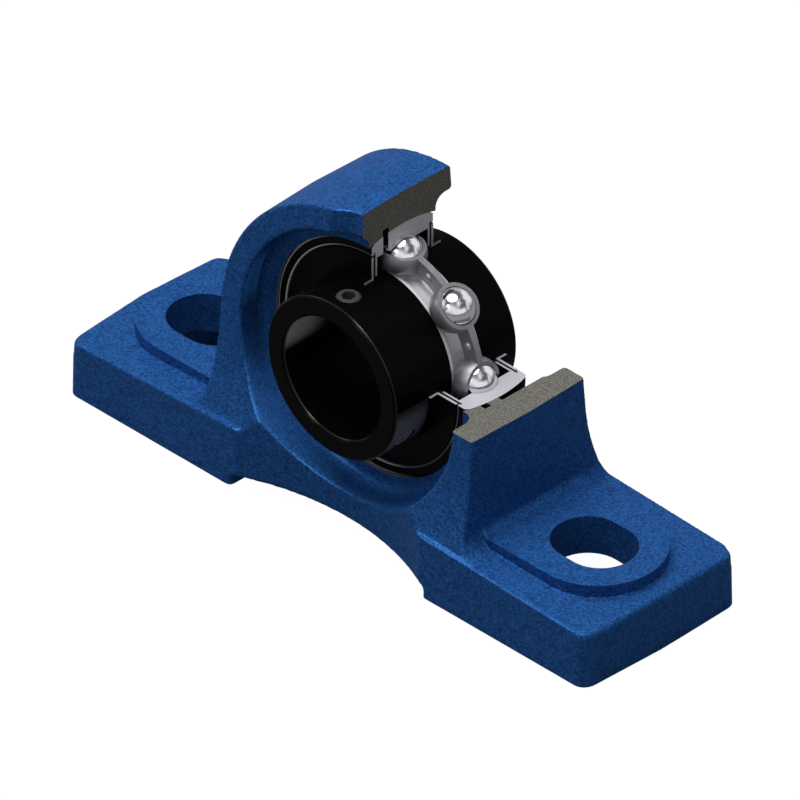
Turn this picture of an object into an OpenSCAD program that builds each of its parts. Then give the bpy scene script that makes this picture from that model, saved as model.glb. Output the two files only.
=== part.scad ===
// Pillow block bearing unit with one quarter cut away to show its inside.
// A cast housing on two feet holds a self-aligning ball bearing insert that is
// clamped to the shaft by two set screws.
// X runs along the base, Y along the shaft with the set screws at -Y, Z up.
// The origin is on the floor, under the middle of the bearing.

/* [Base] */
// Length of the base over both feet
base_l = 161.6; // [156:0.2:176]
// Width of the base across the feet
base_w = 47.4; // [43:0.2:50]
// Height of a foot's corner at its outer end
foot_h = 13.8; // [12.5:0.1:15]
// Slope of a foot's top, falling away from the hump, in degrees
foot_slope = 2; // [0:0.25:3]
// Crown of a foot's top, from its edges up to the middle, in degrees
foot_crown = 1.8; // [0:0.1:3]
// Radius of the feet's outer corners, seen from above
foot_corner_r = 3; // [1:0.1:6]
// Height of the machined pad round each bolt slot
pad_h = 17.8; // [17:0.1:19]
// Radius of the pad's round end, and half of its width
pad_r = 15.9; // [13:0.1:17]
// Distance from the middle of the base to the pad's round end
pad_reach = 77; // [72:0.5:80]
// Distance between the centres of the bolt slots
slot_pitch = 120; // [116:0.5:126]
// Width of a bolt slot
slot_w = 17; // [12:0.5:18]
// Length of a bolt slot, end to end
slot_l = 21; // [18:0.5:23]
// Thickness of the walls along the hollow under each foot
foot_wall = 4.5; // [3:0.1:5.5]
// Thickness of the wall at the hollow's round end
foot_end_wall = 7.3; // [6:0.1:9]
// Height of the hollow under each foot
hollow_h = 7.9; // [4:0.1:10]
// Half of the distance between the feet, underneath
gap_half = 29.8; // [26:0.1:31]
// Clearance between the floor and the housing between the feet
gap_h = 2.7; // [1:0.1:4.5]
// Half of the housing's width at its waist, between the feet
waist_half = 17.45; // [15:0.05:19]
// Distance from the waist's edge to the foot's inner end
waist_land = 0.8; // [0.4:0.1:2]

/* [Hump] */
// Height of the shaft's centre above the floor
shaft_h = 42.9; // [41:0.1:46]
// Radius of the hump's round top
hump_r = 39.7; // [38:0.1:42]
// How far each side wall leans out on its way down to the foot
side_lean = 0.6; // [0:0.1:2]
// Half of the hump's thickness at the shaft
hump_half = 17.6; // [16:0.1:19]
// Draft of the hump's front and back faces, in degrees
face_draft = 4; // [1:0.25:5]
// Radius of the flare that widens those faces down to the feet
flare_r = 60; // [40:1:80]
// Height at which the flare starts
flare_top = 35; // [31:0.5:39]
// Radius of the fillet between a side wall and the foot
foot_fillet = 4.5; // [2:0.1:6]
// Radius of the fillet between a side wall and the pad
pad_fillet = 2; // [1:0.1:3]
// Radius of the round recess in the front and the back face
recess_r = 33; // [32.6:0.1:35]
// Fillet at the bottom of that recess
recess_fillet = 3; // [1:0.1:4]
// Radius of the upright notch at the top of the front rim
notch_r = 10.5; // [7:0.5:16]
// Distance of the notch's deepest line from the middle plane
notch_y = 12.3; // [11.5:0.1:14]

/* [Seat] */
// Diameter of the spherical seat, and of the bearing in it
seat_d = 62; // [61:0.1:63]
// Width of the spherical seat
seat_w = 20.6; // [20:0.1:22]
// Clearance between the seat and the bearing
seat_clear = 0.05; // [0.02:0.01:0.1]
// Depth of the grease groove in the seat
grease_depth = 1.1; // [0.6:0.1:1.4]
// Width of the grease groove
grease_w = 1.9; // [1.2:0.1:2.5]
// Distance of the grease groove and the hole from the middle plane
grease_y = 5.2; // [4.6:0.1:5.8]
// Extra radius of the two slots through which the bearing is loaded
load_depth = 1.3; // [0.8:0.1:1.8]
// Clearance in those slots on each side of the bearing
load_clear = 0.3; // [0.1:0.1:0.6]
// Distance that those slots reach past the middle plane
load_reach = 1.1; // [0.5:0.1:2]

/* [Rings] */
// Diameter of the shaft bore
bore_d = 30; // [25:0.5:31]
// Outer diameter of the inner ring
sleeve_d = 40.2; // [39.6:0.1:40.6]
// Reach of the inner ring in front of the middle plane
sleeve_front = 22.2; // [21:0.1:24]
// Reach of the inner ring behind the middle plane
sleeve_back = 15.9; // [14:0.1:18]
// Chamfer of the inner ring's edges
sleeve_chamfer = 0.6; // [0.2:0.1:1]
// Width of the outer ring
ring_w = 19; // [18.8:0.1:19.6]
// Inner radius of the outer ring beside its raceway
ring_land_r = 25.7; // [25.4:0.1:26]
// Inner radius of the outer ring at its ends
ring_mouth_r = 26.8; // [26.5:0.1:27]
// Radius of the groove that holds each seal
seal_groove_r = 27.2; // [27.1:0.1:27.6]
// Chamfer of the outer ring's edges
ring_chamfer = 0.5; // [0.2:0.1:0.8]
// Diameter of the outer ring's grease hole
grease_hole_d = 1.6; // [1:0.1:2]

/* [Balls and cage] */
// Number of balls
ball_count = 8; // [7:1:8]
// Diameter of a ball
ball_d = 9.525; // [9:0.025:9.7]
// Radius of the circle through the balls' centres
pitch_r = 23; // [22.9:0.05:23.2]
// Gap between a ball and the bottom of each raceway
ball_gap = 0.02; // [0.01:0.01:0.05]
// Raceway radius over ball diameter
raceway_ratio = 0.52; // [0.51:0.005:0.54]
// Thickness of the cage's sheet
cage_t = 0.8; // [0.5:0.05:1]
// Inner radius of the cage
cage_in_r = 20.8; // [20.6:0.1:21.2]
// Outer radius of the cage
cage_out_r = 25; // [24.6:0.1:25.2]
// Clearance between a ball and its pocket
pocket_clear = 0.1; // [0.05:0.01:0.15]
// Diameter of a cage rivet
rivet_d = 1.2; // [0.8:0.1:1.6]
// Diameter of a rivet's round head
rivet_head_d = 2.2; // [1.8:0.1:2.8]
// Height of a rivet's round head
rivet_head_h = 0.6; // [0.4:0.05:0.8]

/* [Seals] */
// Distance of each seal's steel plate from the middle plane
seal_y = 7.9; // [7.6:0.1:8]
// Thickness of the seal's steel plate
seal_t = 0.5; // [0.4:0.05:0.6]
// Thickness of the rubber on the plate
rubber_t = 0.45; // [0.3:0.05:0.5]
// Width of the rubber lip round the plate's hole
lip_w = 0.75; // [0.5:0.05:1]
// Clearance between the lip and the inner ring
lip_clear = 0.05; // [0.02:0.01:0.1]
// Clearance between the rubber and the slinger
slinger_clear = 0.15; // [0.1:0.01:0.25]
// Thickness of the slinger's sheet
slinger_t = 0.6; // [0.4:0.05:0.7]
// Clearance between the slinger's rim and the outer ring
slinger_rim_clear = 0.45; // [0.2:0.05:0.6]
// Length of the slinger's collar along the inner ring
collar_l = 2.9; // [1.5:0.1:3.5]

/* [Set screws] */
// Diameter of a set screw
screw_d = 6; // [5:0.5:6]
// Distance of the set screws from the middle plane
screw_y = 16.8; // [16.6:0.1:17.6]
// Angle between the two set screws
screw_angle = 120; // [60:5:120]
// Depth of a set screw's outer end under the ring's surface
screw_sink = 0.2; // [0:0.05:0.5]
// Clearance between a set screw and its hole
screw_clear = 0.05; // [0.02:0.01:0.1]
// Width of a set screw's hexagon socket across its flats
hex_af = 3; // [2.5:0.1:3]
// Depth of that socket
hex_depth = 2.4; // [1.5:0.1:2.8]

/* [Hidden] */
$fn = 96;
BALLS = [for (i = [1:ball_count]) str("ball_", i)];
RIVETS = [for (i = [1:ball_count]) str("cage_rivet_", i)];

// A length that reaches past every part of the unit
far = 2 * base_l;
// Overlap that makes a cut run clean through a face
cut = 1;

seat_r = seat_d / 2;
seat_half = seat_w / 2;
load_r = seat_r + load_depth;
side_x = hump_r + side_lean;
// Top of the foot at its edge, beside the hump
foot_edge_h = foot_h + (base_l / 2 - side_x - foot_fillet) * tan(foot_slope);
// Height at which the four sloping planes of the feet's tops meet
roof_h = foot_h + base_l / 2 * tan(foot_slope) + base_w / 2 * tan(foot_crown);
waist_sag = base_w / 2 - waist_half;
waist_x = gap_half - waist_land;
waist_r = (waist_x * waist_x + waist_sag * waist_sag) / (2 * waist_sag);
slot_x = slot_pitch / 2;

bore_r = bore_d / 2;
sleeve_r = sleeve_d / 2;
ring_r = seat_r - seat_clear;
ring_half = ring_w / 2;
ring_edge_r = sqrt(ring_r * ring_r - ring_half * ring_half);
ball_r = ball_d / 2;
raceway_r = raceway_ratio * ball_d;
// Centres of the two raceways' round sections
outer_raceway_c = pitch_r + ball_r + ball_gap - raceway_r;
inner_raceway_c = pitch_r - ball_r - ball_gap + raceway_r;
ball_step = 360 / ball_count;
pocket_r = ball_r + pocket_clear;
cage_w = cage_out_r - cage_in_r;
cage_mid_r = (cage_in_r + cage_out_r) / 2;

lip_r = sleeve_r + lip_clear;
plate_in_r = lip_r + lip_w;
rubber_y = seal_y + seal_t;
slinger_y = rubber_y + rubber_t + slinger_clear;
slinger_rim_r = ring_mouth_r - slinger_rim_clear;
// The seal's groove ends just past the rubber
seal_groove_end = rubber_y + rubber_t;

screw_r = screw_d / 2;
screw_out_r = sleeve_r - screw_sink;

// Placing

// Turns a solid round Z into one round the shaft, with Z turned to Y
module on_shaft() {
    translate([0, 0, shaft_h]) rotate([-90, 0, 0]) children();
}

// A ring round the shaft from a section whose x is the radius and y is Y
module revolve() {
    on_shaft() rotate_extrude() children();
}

// The same thing on both sides of the middle plane, or on one of them
module facing(side) {
    if (side < 0) children();
    else mirror([0, 1, 0]) children();
}

// Something on the pitch circle, with angles counted from +X down to -Z
module on_pitch(r, angle) {
    on_shaft() rotate([0, 0, angle]) translate([r, 0, 0]) children();
}

// A copy on each end of the base
module both_ends() {
    for (sx = [0, 1]) mirror([sx, 0, 0]) children();
}

// The front and the back, as a mirrored pair
module both_faces() {
    for (sy = [0, 1]) mirror([0, sy, 0]) children();
}

// An outline in X and Z, drawn out along Y
module along_y(w) {
    rotate([90, 0, 0]) translate([0, 0, -w / 2]) linear_extrude(w) children();
}

// An outline in Y and Z, drawn out along X
module along_x(l) {
    rotate([90, 0, 90]) translate([0, 0, -l / 2]) linear_extrude(l) children();
}

// The quarter that is cut out of the unit
module window() {
    translate([0, -far / 2, shaft_h]) cube([far, far, far]);
}

// Housing

module rounded_plan(l, w, r) {
    square([l, w - 2 * r], center = true);
    square([l - 2 * r, w], center = true);
    for (x = [-1, 1], y = [-1, 1])
        translate([x * (l / 2 - r), y * (w / 2 - r)]) circle(r);
}

// A concave fillet in the corner of a wall at x and a floor at z
module corner_fillet(x, z, r) {
    difference() {
        translate([x - cut, z - cut]) square(r + cut);
        translate([x + r, z + r]) circle(r);
    }
}

// The hump seen from the front
module hump_front() {
    translate([0, shaft_h]) circle(hump_r);
    polygon([
        [-side_x, 0], [side_x, 0], [side_x, pad_h], [hump_r, shaft_h],
        [-hump_r, shaft_h], [-side_x, pad_h]
    ]);
    for (s = [0, 1]) mirror([s, 0])
        corner_fillet(side_x, foot_edge_h, foot_fillet);
}

// The hump seen from the side: drafted faces with a flare down to the base
module hump_side() {
    top = shaft_h + hump_r + cut;
    lean = tan(face_draft);
    polygon([
        [-hump_half - shaft_h * lean, 0], [hump_half + shaft_h * lean, 0],
        [hump_half - (top - shaft_h) * lean, top], [-hump_half + (top - shaft_h) * lean, top]
    ]);
    flare_y = hump_half + (shaft_h - flare_top) * lean;
    for (s = [0, 1]) mirror([s, 0]) difference() {
        square([base_w / 2, flare_top]);
        translate([flare_y, flare_top])
            translate(flare_r * [cos(face_draft), sin(face_draft)]) circle(flare_r, $fn = 192);
    }
}

module hump() {
    intersection() {
        along_y(base_w) hump_front();
        along_x(base_l) hump_side();
        translate([0, 0, far / 2]) cube([base_l, base_w, far], center = true);
    }
}

// Both feet and the bridge between them, under four sloping planes
module base() {
    difference() {
        linear_extrude(roof_h) rounded_plan(base_l, base_w, foot_corner_r);
        for (sx = [-1, 1], sy = [-1, 1])
            translate([0, 0, roof_h]) rotate([-sy * foot_crown, sx * foot_slope, 0])
                translate([-far, -far, 0]) cube([2 * far, 2 * far, far]);
    }
}

module pad() {
    linear_extrude(pad_h) {
        translate([side_x - cut, -pad_r]) square([pad_reach - pad_r - side_x + cut, 2 * pad_r]);
        translate([pad_reach - pad_r, 0]) circle(pad_r);
    }
    along_y(2 * pad_r) corner_fillet(side_x, pad_h, pad_fillet);
}

module bolt_slot() {
    end = (slot_l - slot_w) / 2;
    linear_extrude(far) {
        for (s = [-1, 1]) translate([slot_x + s * end, 0]) circle(slot_w / 2);
        translate([slot_x, 0]) square([2 * end, slot_w], center = true);
    }
}

// The hollow under one foot, with its round end beyond the slot
module foot_hollow() {
    inner = gap_half + 1.4 * foot_wall;
    half = base_w / 2 - foot_wall;
    straight = base_l / 2 - foot_end_wall - half - inner;
    translate([inner, 0, -cut]) linear_extrude(hollow_h + cut) {
        translate([foot_corner_r, -half]) square([straight - foot_corner_r, 2 * half]);
        translate([0, foot_corner_r - half]) square([straight, 2 * (half - foot_corner_r)]);
        for (s = [-1, 1])
            translate([foot_corner_r, s * (half - foot_corner_r)]) circle(foot_corner_r);
        translate([straight, 0]) circle(half);
    }
}

// The concave waist of one face, between the feet
module waist() {
    translate([0, -waist_half - waist_r, -cut]) cylinder(h = shaft_h, r = waist_r, $fn = 192);
}

// The spherical seat with its grease groove, and the round recess on each side
module seat_space() {
    revolve() {
        intersection() {
            circle(seat_r);
            translate([0, -seat_half - cut]) square([seat_r + cut, seat_w + 2 * cut]);
        }
        translate([seat_r - 2 * cut, -grease_y - grease_w / 2])
            square([2 * cut + grease_depth, grease_w]);
        for (s = [0, 1]) mirror([0, s]) {
            translate([0, seat_half]) square([recess_r - recess_fillet, base_w]);
            translate([0, seat_half + recess_fillet]) square([recess_r, base_w]);
            translate([recess_r - recess_fillet, seat_half + recess_fillet])
                circle(recess_fillet);
        }
    }
}

// The slots at both sides, through which the bearing is put in from the back
module loading_slots() {
    intersection() {
        on_shaft() translate([0, 0, -load_reach]) cylinder(h = base_w, r = load_r);
        translate([0, 0, shaft_h])
            cube([far, far, ring_w + 2 * load_clear], center = true);
    }
}

// The round notch at the top of the front rim
module rim_notch() {
    translate([0, -notch_y - notch_r, shaft_h + seat_r]) cylinder(h = hump_r, r = notch_r);
}

module housing() {
    color([0.11, 0.31, 0.6]) difference() {
        union() {
            hump();
            base();
            both_ends() pad();
        }
        seat_space();
        loading_slots();
        rim_notch();
        both_faces() waist();
        translate([-gap_half, -far / 2, -cut]) cube([2 * gap_half, far, gap_h + cut]);
        both_ends() bolt_slot();
        both_ends() foot_hollow();
        window();
    }
}

// Rings

module outer_ring() {
    rim_r = ring_edge_r - ring_chamfer;
    color([0.72, 0.73, 0.76]) difference() {
        revolve() difference() {
            intersection() {
                circle(ring_r);
                polygon([
                    [0, -ring_half], [rim_r, -ring_half], [rim_r + ring_half, 0],
                    [rim_r, ring_half], [0, ring_half]
                ]);
            }
            translate([0, -ring_half - cut]) square([ring_land_r, ring_w + 2 * cut]);
            translate([outer_raceway_c, 0]) circle(raceway_r);
            for (s = [0, 1]) mirror([0, s]) {
                translate([0, seal_y]) square([ring_mouth_r, ring_half]);
                translate([0, seal_y]) square([seal_groove_r, seal_groove_end - seal_y]);
            }
        }
        translate([0, -grease_y, shaft_h]) cylinder(h = far, d = grease_hole_d);
        window();
    }
}

module inner_ring() {
    c = sleeve_chamfer;
    color([0.07, 0.07, 0.08]) difference() {
        revolve() difference() {
            polygon([
                [bore_r + c, -sleeve_front], [sleeve_r - c, -sleeve_front],
                [sleeve_r, c - sleeve_front], [sleeve_r, sleeve_back - c],
                [sleeve_r - c, sleeve_back], [bore_r + c, sleeve_back],
                [bore_r, sleeve_back - c], [bore_r, c - sleeve_front]
            ]);
            translate([inner_raceway_c, 0]) circle(raceway_r);
        }
        for (k = [0, 1]) screw_place(k) cylinder(h = far, r = screw_r);
    }
}

// Balls and cage

module ball(i) {
    color([0.85, 0.86, 0.88]) on_pitch(pitch_r, (i - 1) * ball_step) sphere(ball_r);
}

// A ball's place, as a sphere whose poles lie along the cage's radius
module pocket(i, r) {
    on_pitch(pitch_r, (i - 1) * ball_step) rotate([0, 90, 0]) sphere(r);
}

// The round shell that one half of the cage forms in front of a ball
module cage_shell(i) {
    difference() {
        intersection() {
            pocket(i, pocket_r + cage_t);
            revolve() translate([cage_in_r, -2 * ball_d]) square([cage_w, 2 * ball_d]);
        }
        pocket(i, pocket_r);
    }
}

// One half of the riveted cage: a flat ring pressed out round each ball
module cage_half(side) {
    color([0.5, 0.51, 0.53]) facing(side) {
        difference() {
            revolve() translate([cage_in_r, -cage_t]) square([cage_w, cage_t]);
            for (i = [1:ball_count]) {
                pocket(i, pocket_r + cage_t / 2);
                on_pitch(cage_mid_r, (i - 0.5) * ball_step)
                    translate([0, 0, -2 * cage_t]) cylinder(h = 4 * cage_t, d = rivet_d);
            }
        }
        for (i = [1:ball_count]) cage_shell(i);
    }
}

// A rivet through both lands of the cage, with a domed head on each side
module cage_rivet(i) {
    dome_r = (rivet_head_d * rivet_head_d / 4 + rivet_head_h * rivet_head_h) / (2 * rivet_head_h);
    color([0.62, 0.63, 0.65]) on_pitch(cage_mid_r, (i - 0.5) * ball_step) {
        translate([0, 0, -cage_t]) cylinder(h = 2 * cage_t, d = rivet_d);
        for (s = [0, 1]) mirror([0, 0, s]) intersection() {
            translate([0, 0, cage_t + rivet_head_h - dome_r]) sphere(dome_r);
            translate([0, 0, cage_t]) cylinder(h = rivet_head_h, d = rivet_head_d);
        }
    }
}

// Seals

module seal_plate(side) {
    color([0.66, 0.67, 0.69]) facing(side) difference() {
        revolve() translate([plate_in_r, -rubber_y]) square([seal_groove_r - plate_in_r, seal_t]);
        window();
    }
}

// Rubber on the outside of the plate, with a lip round its hole
module seal_lip(side) {
    color([0.05, 0.05, 0.05]) facing(side) difference() {
        revolve() {
            translate([lip_r, -seal_groove_end]) square([ring_mouth_r - lip_r, rubber_t]);
            translate([lip_r, -seal_groove_end]) square([lip_w, rubber_t + seal_t]);
        }
        window();
    }
}

// A thrower plate with a collar that grips the inner ring
module slinger(side) {
    color([0.6, 0.61, 0.63]) facing(side) difference() {
        revolve() {
            translate([sleeve_r, -slinger_y - slinger_t])
                square([slinger_rim_r - sleeve_r, slinger_t]);
            translate([sleeve_r, -slinger_y - collar_l]) square([slinger_t, collar_l]);
        }
        window();
    }
}

// Set screws

// Radial place of set screw k, with the first one at the top
module screw_place(k) {
    on_shaft() translate([0, 0, -screw_y]) rotate([0, 0, -90 + k * screw_angle])
        rotate([0, 90, 0]) children();
}

module set_screw(k) {
    r = screw_r - screw_clear;
    edge = screw_r / 6;
    color([0.2, 0.2, 0.21]) screw_place(k) difference() {
        rotate_extrude() polygon([
            [0, bore_r + edge], [r / 2, bore_r], [r - edge, bore_r], [r, bore_r + edge],
            [r, screw_out_r - edge], [r - edge, screw_out_r], [0, screw_out_r]
        ]);
        translate([0, 0, screw_out_r - hex_depth])
            cylinder(h = hex_depth + cut, d = hex_af / cos(30), $fn = 6);
    }
}

housing();
outer_ring();
inner_ring();
for (i = [1:ball_count]) ball(i);
cage_half(-1);  // cage_front
cage_half(1);  // cage_back
for (i = [1:ball_count]) cage_rivet(i);
seal_plate(-1);  // seal_plate_front
seal_plate(1);  // seal_plate_back
seal_lip(-1);  // seal_lip_front
seal_lip(1);  // seal_lip_back
slinger(-1);  // slinger_front
slinger(1);  // slinger_back
set_screw(0);  // set_screw_top
set_screw(1);  // set_screw_side
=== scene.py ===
"""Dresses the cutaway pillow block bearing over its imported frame.

The cast housing gets a new skin with the soft edges of a sand casting, cut open along
the same two planes as the frame. The bearing's own pieces keep their exact solids and
get their finishes, and the cage gets its rivets from a geometry tree.
"""

from __future__ import annotations

import logging
import math
from dataclasses import dataclass
from enum import Enum
from typing import Any, Callable, Iterable, Sequence

import bmesh
import bpy
import numpy as np
from mathutils import Matrix, Vector

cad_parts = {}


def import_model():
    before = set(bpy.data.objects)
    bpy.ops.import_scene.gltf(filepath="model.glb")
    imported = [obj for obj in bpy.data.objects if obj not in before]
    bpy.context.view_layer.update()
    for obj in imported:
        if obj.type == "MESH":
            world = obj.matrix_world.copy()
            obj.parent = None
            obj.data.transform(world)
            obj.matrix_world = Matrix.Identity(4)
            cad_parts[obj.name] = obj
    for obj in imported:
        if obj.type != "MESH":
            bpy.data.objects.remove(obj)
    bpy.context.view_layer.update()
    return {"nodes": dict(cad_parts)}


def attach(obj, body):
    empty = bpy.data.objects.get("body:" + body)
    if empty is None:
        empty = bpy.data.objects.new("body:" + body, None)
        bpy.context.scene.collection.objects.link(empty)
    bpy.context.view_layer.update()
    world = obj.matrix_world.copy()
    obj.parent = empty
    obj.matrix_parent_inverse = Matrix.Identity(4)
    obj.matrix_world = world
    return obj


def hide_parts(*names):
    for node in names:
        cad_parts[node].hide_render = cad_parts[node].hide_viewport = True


logging.basicConfig(level=logging.INFO, format="%(message)s")
log = logging.getLogger("bearing")

MM = 0.001
SHAFT_H = 42.9
STEPS_ROUND = 160
Pair = tuple[float, float]
Triple = tuple[float, float, float]
Colour = Triple
Stop = tuple[float, Colour]
Numbers = np.ndarray
Object = bpy.types.Object
Material = bpy.types.Material


def screen(*levels: int) -> Colour:
    """Turn red, green and blue from 0 to 255, as seen on a screen, into linear light."""

    def linear(value: float) -> float:
        """Undo the screen's curve for one channel."""
        return value / 12.92 if value <= 0.04045 else ((value + 0.055) / 1.055) ** 2.4

    return tuple(linear(level / 255) for level in levels)


class Socket:
    """A shader socket that takes part in Python arithmetic."""

    def __init__(self, shader: Shader, socket: bpy.types.NodeSocket) -> None:
        """Wrap one output socket of a shader."""
        self.shader = shader
        self.socket = socket

    def __add__(self, other: Any) -> Socket:
        """Add a value or another socket."""
        return self.shader.maths("ADD", self, other)

    __radd__ = __add__

    def __sub__(self, other: Any) -> Socket:
        """Subtract a value or another socket."""
        return self.shader.maths("SUBTRACT", self, other)

    def __rsub__(self, other: Any) -> Socket:
        """Subtract this socket from a value."""
        return self.shader.maths("SUBTRACT", other, self)

    def __mul__(self, other: Any) -> Socket:
        """Multiply by a value or another socket."""
        return self.shader.maths("MULTIPLY", self, other)

    __rmul__ = __mul__

    def __abs__(self) -> Socket:
        """Drop the sign."""
        return self.shader.maths("ABSOLUTE", self)

    def __lt__(self, other: Any) -> Socket:
        """Give 1 where this is under the other, and 0 elsewhere."""
        return self.shader.maths("LESS_THAN", self, other)

    def __gt__(self, other: Any) -> Socket:
        """Give 1 where this is over the other, and 0 elsewhere."""
        return self.shader.maths("GREATER_THAN", self, other)

    def most(self, other: Any) -> Socket:
        """Take the greater of the two."""
        return self.shader.maths("MAXIMUM", self, other)

    def rise(self, low: float, high: float) -> Socket:
        """Rise smoothly from 0 at the low value to 1 at the high one."""
        return self.shader.node(
            "ShaderNodeMapRange",
            {"interpolation_type": "SMOOTHSTEP"},
            {"Value": self, "From Min": low, "From Max": high},
        )


class Shader:
    """A material or a world whose nodes are written as Python expressions."""

    def __init__(self, name: str, world: bool = False) -> None:
        """Start an empty material of that name, or an empty world."""
        self.owner = (bpy.data.worlds if world else bpy.data.materials).new(name)
        self.owner.use_nodes = True
        self.tree = self.owner.node_tree
        self.tree.nodes.clear()

    def node(
        self,
        kind: str,
        settings: dict[str, Any] | None = None,
        sockets: dict[str | int, Any] | None = None,
        output: str | int = 0,
    ) -> Socket:
        """Add one node.

        Args:
            kind: The node's type.
            settings: Its own settings, set first.
            sockets: Values or links of its input sockets, by name or number.
            output: The output that the caller wants.

        Returns:
            That output, ready for arithmetic.
        """
        made = self.tree.nodes.new(kind)
        for key, value in (settings or {}).items():
            setattr(made, key, value)
        for key, value in (sockets or {}).items():
            if isinstance(value, Socket):
                self.tree.links.new(value.socket, made.inputs[key])
            elif isinstance(value, tuple) and len(made.inputs[key].default_value) == 4:
                made.inputs[key].default_value = (*value, 1.0)
            else:
                made.inputs[key].default_value = value
        return Socket(self, made.outputs[output] if made.outputs else made.inputs[0])

    def maths(self, operation: str, *values: Any) -> Socket:
        """Add a Math node for one operation on values or sockets."""
        return self.node("ShaderNodeMath", {"operation": operation}, dict(enumerate(values)))

    def place(self) -> Socket:
        """Give the Object coordinates of the shaded point."""
        return self.node("ShaderNodeTexCoord", output="Object")

    def axes(self, vector: Socket | None = None) -> tuple[Socket, ...]:
        """Split a vector into three numbers, by default the Object coordinates."""
        split = self.node("ShaderNodeSeparateXYZ", sockets={0: vector or self.place()})
        return tuple(Socket(self, output) for output in split.socket.node.outputs)

    def facing(self) -> tuple[Socket, ...]:
        """Give the three numbers of the surface's normal, in the object's own axes."""
        return self.axes(self.node("ShaderNodeTexCoord", output="Normal"))

    def lean(self, way: Triple, low: float, high: float) -> Socket:
        """Give 1 where the surface faces one way, and 0 where it is turned from it.

        Args:
            way: The direction in the object's own axes.
            low: Cosine of the angle at which the share leaves 0.
            high: Cosine of the angle at which it reaches 1.
        """
        length = math.hypot(*way)
        parts = [side * (step / length) for side, step in zip(self.facing(), way)]
        return (parts[0] + parts[1] + parts[2]).rise(low, high)

    def noise(self, size: float, detail: float = 2.0, stretch: Triple = (1, 1, 1)) -> Socket:
        """Add noise whose patches are about one size across.

        Args:
            size: Size of a patch in metres.
            detail: Number of finer layers.
            stretch: How far the noise is drawn out along each axis.

        Returns:
            The noise, from 0 to 1.
        """
        scaled = self.node(
            "ShaderNodeMapping",
            sockets={"Vector": self.place(), "Scale": tuple(1 / s for s in stretch)},
        )
        return self.node(
            "ShaderNodeTexNoise",
            sockets={"Vector": scaled, "Scale": 1 / size, "Detail": detail},
        )

    def blend(self, share: Any, first: Any, second: Any) -> Socket:
        """Mix two colours, with the share of the second one."""
        return self.node(
            "ShaderNodeMix",
            {"data_type": "RGBA"},
            {"Factor": share, 6: first, 7: second},
            output=2,
        )

    def ramp(self, value: Any, low: Stop, high: Stop) -> Socket:
        """Turn a value into a colour.

        Args:
            value: The value.
            low: Where the ramp starts, and its colour there.
            high: Where it ends, and its colour there.
        """
        made = self.node("ShaderNodeValToRGB", sockets={0: value})
        elements = made.socket.node.color_ramp.elements
        for element, (place, colour) in zip(elements, (low, high)):
            element.position = place
            element.color = (*colour, 1.0)
        return made

    def bump(self, height: Socket, depth: float, strength: float = 1.0) -> Socket:
        """Turn a height from 0 to 1 into a normal, with the relief's real depth in metres."""
        return self.node(
            "ShaderNodeBump",
            sockets={"Height": height, "Distance": depth, "Strength": strength},
            output="Normal",
        )

    def finish(self, **sockets: Any) -> Material:
        """Close the material with one Principled shader; underscores stand for spaces."""
        named = {key.replace("_", " "): value for key, value in sockets.items()}
        shader = self.node("ShaderNodeBsdfPrincipled", sockets=named)
        self.node("ShaderNodeOutputMaterial", sockets={"Surface": shader})
        return self.owner


@dataclass(frozen=True)
class Window:
    """The quarter that is cut out of the unit: X over 0 and Z over the shaft."""

    shaft_h: float = SHAFT_H * MM
    edge: float = 0.02 * MM
    square_on: float = 0.9

    def polar(self, shader: Shader) -> tuple[Socket, ...]:
        """Give X, Y, the height over the shaft and the squared distance from its line."""
        x, y, z = shader.axes()
        up = z - self.shaft_h
        return x, y, up, x * x + up * up

    def mask(self, shader: Shader) -> Socket:
        """Give 1 on the two cut planes and 0 elsewhere."""
        x, _, up, _ = self.polar(shader)
        to_x, _, to_z = (abs(part) > self.square_on for part in shader.facing())
        upright = (abs(x) < self.edge) * (up > -self.edge) * to_x
        level = (abs(up) < self.edge) * (x > -self.edge) * to_z
        return upright.most(level)


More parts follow.
